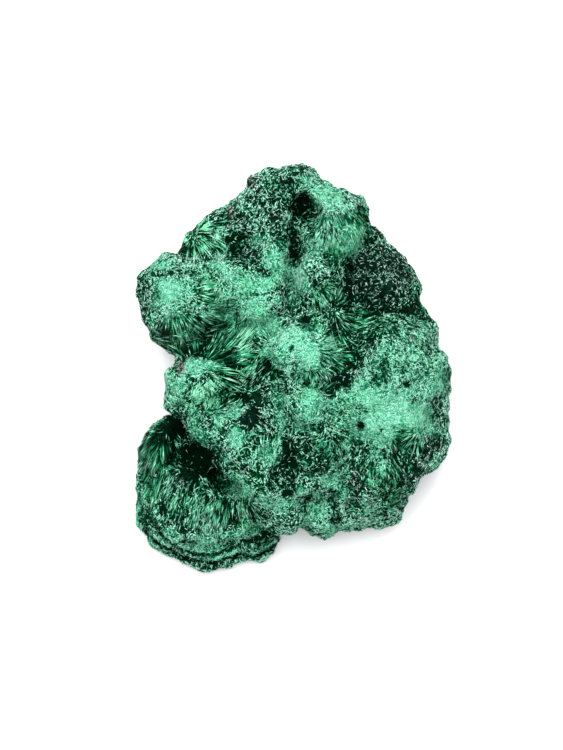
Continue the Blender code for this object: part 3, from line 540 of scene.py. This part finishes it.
# The needles stand up only near a spray's middle. In a spray that reaches further than this, the standing
# part is no wider than in one that reaches this far.
CLOSED_TOP = 6.5

# How deep the roots sit, how far the tips may pass the skin they make up, and where along its length a long
# needle is widest.
NEEDLE_ROOT = 0.25
POINT_ROOT = 0.05
TIPS_PAST = 0.22
NEEDLE_BELLY = 0.55

# The long needles' width grows with their length. The short points are slim ones among broad ones.
LONG_NEEDLES = 22000
LONG_WIDTH = 0.13
WIDTH_PER_LENGTH = 0.014
FELT_NEEDLES = 45000
SLIM_SHARE = 0.45
SLIM_LENGTHS = (0.45, 0.85)
SLIM_WIDTHS = (0.18, 0.25)
BROAD_LENGTHS = (0.25, 0.45)
BROAD_WIDTHS = (0.18, 0.28)


def unit(vectors):
    return vectors / np.maximum(np.linalg.norm(vectors, axis=1, keepdims=True), 1e-9)


mass.data.calc_loop_triangles()
triangles = np.empty(len(mass.data.loop_triangles) * 3, np.int32)
mass.data.loop_triangles.foreach_get("vertices", triangles)
triangles = triangles.reshape(-1, 3)
corners_at = inner[triangles]
first, second, third = corners_at[:, 0], corners_at[:, 1], corners_at[:, 2]
area = np.linalg.norm(np.cross(second - first, third - first), axis=1) / 2
spray_rows = np.array(list(SPRAYS.values()))


def how_far_out(points):
    """How far each point lies outside the skin that the tips make up."""
    past = np.empty(len(points))
    for i, spot in enumerate(points * MM):
        near, out, _, _ = tips_reach.find_nearest(spot)
        past[i] = (Vector(spot) - near).dot(out) / MM
    return past


def shades(light, tint, pale, dark, up, middle, slim, long):
    """How light each needle is and its hue: some painted bright, the rest dull, and a few painted glints."""
    made = len(light)
    rough = 1.0 - 0.5 * pale
    clump = 0.6 * noise(middle, 0.32, 62) + 0.6 * noise(middle, 0.18, 63) + 0.6 * rng.normal(size=made)
    luck = rng.uniform(size=made) if long else clump.argsort().argsort() / made
    dusky = smooth_step(dark, 0.4, 0.7) * (1.0 - smooth_step(dark, 0.8, 0.95))
    # Painted sparkle: a share of the needles, set by the tone wanted, is painted bright. The near-white ones,
    # long needles and slim points, are painted highlights; on broad points the bright tone is pale mint.
    lit = luck < (light - 0.08) / 0.84 + 0.07 * dusky
    if long:
        bright = rng.normal(0.93, 0.06, made)
        dull = 0.25 * rng.uniform(size=made) ** 2
    else:
        bright = np.where(slim, rng.normal(0.95, 0.05, made), rng.normal(0.66, 0.12, made))
        flank = 1.0 - smooth_step(up[:, 2], -0.1, 0.4)
        dull = np.where(slim, 0.12, (0.42 + 0.2 * flank) * (1.0 - dark)) * rng.uniform(size=made)
    # In the darkest places the painted highlights are dimmed, as painted shade.
    either = np.where(lit, bright * (1.0 - 0.22 * dusky - 0.5 * smooth_step(dark, 0.8, 1.0)), dull)
    light = light + (either - light) * rough * (0.8 if long else 1.0)
    # Painted glints: a few needles painted near white and greyer.
    glint = 0.12 if long else 0.01 + 0.06 * slim
    painted_glints = rng.uniform(size=made) < glint * rough * (1.0 - 0.5 * dark)
    light = np.where(painted_glints, rng.uniform(0.88, 0.99, made), light)
    light = np.clip(light, 0.02, 0.97)
    tint = np.clip(tint + rng.normal(size=made) * 0.08 + 0.12 * painted_glints, 0.02, 0.98)
    return light, tint


def joined_piece(name, corners, order, spots, roughness):
    """One piece of many closed needles, each with its corners in a row and the faces that order gives."""
    made, corner_count = corners.shape[:2]
    faces = (np.array(order)[None] + corner_count * np.arange(made)[:, None, None]).reshape(-1)
    mesh = bpy.data.meshes.new(name)
    mesh.vertices.add(corner_count * made)
    mesh.vertices.foreach_set("co", (corners * MM).astype(np.float32).ravel())
    mesh.loops.add(len(faces))
    mesh.loops.foreach_set("vertex_index", faces.astype(np.int32))
    mesh.polygons.add(len(faces) // 3)
    mesh.polygons.foreach_set("loop_start", np.arange(0, len(faces), 3, dtype=np.int32))
    mesh.update(calc_edges=True)
    own_map = mesh.uv_layers.new(name="OFBake")
    own_map.uv.foreach_set("vector", spots[faces].astype(np.float32).ravel())
    mesh.materials.append(malachite(name + " malachite", roughness))
    piece = bpy.data.objects.new(name, mesh)
    bpy.context.collection.objects.link(piece)
    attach(piece, "root")


def needles(name, count, wanted, long, roughness):
    """A piece of separate needles, more of them where wanted is higher: long spindles that lie out along
    their spray, or short points that lie every way."""
    odds = area * wanted[triangles].mean(axis=1) * (corners_at[:, :, 2].mean(axis=1) > 0.4)
    chosen = rng.choice(len(triangles), count, p=odds / odds.sum())
    share = rng.dirichlet((1.0, 1.0, 1.0), count)[:, :, None]
    foot = (corners_at[chosen] * share).sum(axis=1)
    up = unit((facing[triangles[chosen]] * share).sum(axis=1))
    over = unit((lie[triangles[chosen]] * share).sum(axis=1)) if long else up
    stands = (stand_out[triangles[chosen]] * share[:, :, 0]).sum(axis=1)
    thick = (depth[triangles[chosen]] * share[:, :, 0]).sum(axis=1)

    # The spray that each needle belongs to, and how far out in it the needle is.
    apart = foot[:, None, :] - spray_rows[None, :, :3]
    apart[:, :, 2] *= 0.5
    nearest = (np.linalg.norm(apart, axis=2) / spray_rows[:, 3]).argmin(axis=1)
    centre, reach, open_length, stray = np.split(spray_rows[nearest], (3, 4, 5), axis=1)
    away = foot - centre
    ring = np.linalg.norm(away[:, :2], axis=1) / np.minimum(reach[:, 0], CLOSED_TOP)

    flat = unit(away - over * (away * over).sum(axis=1, keepdims=True))
    across = np.cross(over, flat)
    if long:
        slim = np.zeros(count, bool)
        upright = 1.0 - smooth_step(ring, 0.05, 0.45)
        turn = np.radians(stray[:, 0]) * rng.normal(size=count)
        length = open_length[:, 0] * rng.uniform(0.4, 1.3, count) * (1.0 - 0.6 * upright)
        width = (LONG_WIDTH + WIDTH_PER_LENGTH * open_length[:, 0]) * rng.uniform(0.7, 1.3, count)
        lift = np.radians(6.0 + 40.0 * upright + 8.0 * rng.uniform(size=count))
    else:
        slim = rng.uniform(size=count) < SLIM_SHARE
        turn = np.radians(180.0) * rng.uniform(-1.0, 1.0, count)
        length = np.where(slim, rng.uniform(*SLIM_LENGTHS, count), rng.uniform(*BROAD_LENGTHS, count))
        width = np.where(slim, rng.uniform(*SLIM_WIDTHS, count), rng.uniform(*BROAD_WIDTHS, count))
        lift = np.radians(rng.uniform(0.0, 25.0, count))
    flat = flat * np.cos(turn)[:, None] + across * np.sin(turn)[:, None]
    axis = unit(flat * np.cos(lift)[:, None] + over * np.sin(lift)[:, None])

    # A needle that would stand out too far, or bridge a notch, is shorter.
    tip = foot + axis * length[:, None]
    beyond = how_far_out(tip)
    if long:
        beyond = np.maximum(beyond, 4.0 * how_far_out((foot + tip) / 2))
    length *= (thick + TIPS_PAST) / (thick + np.maximum(beyond, TIPS_PAST))
    tip = foot + axis * length[:, None]
    root = foot - axis * (NEEDLE_ROOT if long else POINT_ROOT)
    middle = (foot + tip) / 2

    # Long needles are clearer, and whole sheaves of them are lighter or darker.
    light, pale, dark = tone_of(middle, up, stands)
    tint = hue_of(middle, up) - (0.28 if long else 0.0)
    if long:
        light += 0.02 + 0.34 * noise(unit(away) * 10.0 + nearest[:, None] * 31.0, 1.0, 61)

    side = unit(np.cross(axis, rng.normal(size=(count, 3))))
    other = np.cross(axis, side)
    widest = root + (tip - root) * NEEDLE_BELLY if long else root
    corners = [tip]
    for angle in (0.0, 2.0 * math.pi / 3.0, 4.0 * math.pi / 3.0):
        out = side * math.cos(angle) + other * math.sin(angle)
        corners.append(widest + out * (width / 2)[:, None])
    order = [(0, 1, 2), (0, 2, 3), (0, 3, 1)]
    if long:
        corners.append(root)
        order += [(4, 2, 1), (4, 3, 2), (4, 1, 3)]
    else:
        order += [(1, 3, 2)]

    keep = (tip[:, 2] > 0.15) & (root[:, 2] > 0.1)
    corners = np.stack(corners, axis=1)[keep]
    light, tint, pale, dark = (values[keep] for values in (light, tint, pale, dark))
    light, tint = shades(light, tint, pale, dark, up[keep], middle[keep], slim[keep], long)

    # Each face needs some width on the map, and a long needle is painted darker to its root, as painted shade
    # where it goes in among the others.
    made, corner_count = corners.shape[:2]
    us = np.repeat(light[:, None], corner_count, axis=1)
    if long:
        us[:, 4] *= 0.35
    us[:, 1:4] += rng.uniform(-0.003, 0.003, (made, 3))
    vs = np.repeat(tint[:, None], corner_count, axis=1)
    vs[:, 1:4] += (-0.003, 0.0, 0.003)
    spots = np.stack([us, vs], axis=2).reshape(-1, 2)
    joined_piece(name, corners, order, spots, roughness)


# The long needles lie where the lumps broke open, and the short ones everywhere else, thickest on the closed
# tops and thinnest where the surface faces down.
needles("long_needles", LONG_NEEDLES, 0.01 + bare, True, 0.4)
seen = 0.9 + 0.3 * smooth_step(facing[:, 2], -0.2, 0.5)
clumped = closed + (1.0 - closed) * smooth_step(noise(outer, 0.8, 71), -0.7, 0.1)
felted = seen * clumped * (1.0 - 0.85 * bare)
for quarter, (west, north) in {"northwest": (1, 1), "northeast": (0, 1), "southwest": (1, 0),
                               "southeast": (0, 0)}.items():
    inside = ((inner[:, 0] < 0.0) == west) & ((inner[:, 1] > 0.0) == north)
    needles(quarter + "_felt", FELT_NEEDLES, felted * inside, False, 0.5)


# The table it lies on, the light and the camera: a plain pale sweep under a wide soft light.
bpy.ops.mesh.primitive_plane_add(size=6.0, location=(0.0, 0.0, 0.0))
table = bpy.context.object
table.name = "table"
paper = bpy.data.materials.new("white paper")
paper.use_nodes = True
paper.node_tree.nodes["Principled BSDF"].inputs["Base Color"].default_value = (0.80, 0.80, 0.81, 1.0)
paper.node_tree.nodes["Principled BSDF"].inputs["Roughness"].default_value = 0.9
table.data.materials.append(paper)

world = bpy.data.worlds.new("studio")
world.use_nodes = True
world.node_tree.nodes["Background"].inputs["Color"].default_value = (1.0, 1.0, 1.0, 1.0)
world.node_tree.nodes["Background"].inputs["Strength"].default_value = 1.1
bpy.context.scene.world = world


def soft_light(name, power, size, place, target=(0.0, 0.0, 0.01)):
    lamp = bpy.data.lights.new(name, "AREA")
    lamp.energy = power
    lamp.size = size
    holder = bpy.data.objects.new(name, lamp)
    holder.location = place
    holder.rotation_euler = (Vector(target) - Vector(place)).to_track_quat("-Z", "Y").to_euler()
    bpy.context.collection.objects.link(holder)


soft_light("top light", 14.0, 0.8, (-0.06, 0.30, 0.80))

# Straight above, far enough off that the piece's height hardly changes its outline.
FRAME_HEIGHT = 120.0 * MM
CAMERA_HEIGHT = 1.4
WIDEST_AT = 12.0 * MM
lens = bpy.data.cameras.new("camera")
lens.sensor_fit = "VERTICAL"
lens.sensor_height = 36.0
lens.lens = 36.0 * (CAMERA_HEIGHT - WIDEST_AT) / FRAME_HEIGHT
lens.clip_start = 0.01
lens.clip_end = 20.0
camera = bpy.data.objects.new("camera", lens)
camera.location = (-1.84 * MM, -0.96 * MM, CAMERA_HEIGHT)
bpy.context.collection.objects.link(camera)
bpy.context.scene.camera = camera
bpy.context.scene.view_settings.view_transform = "Standard"
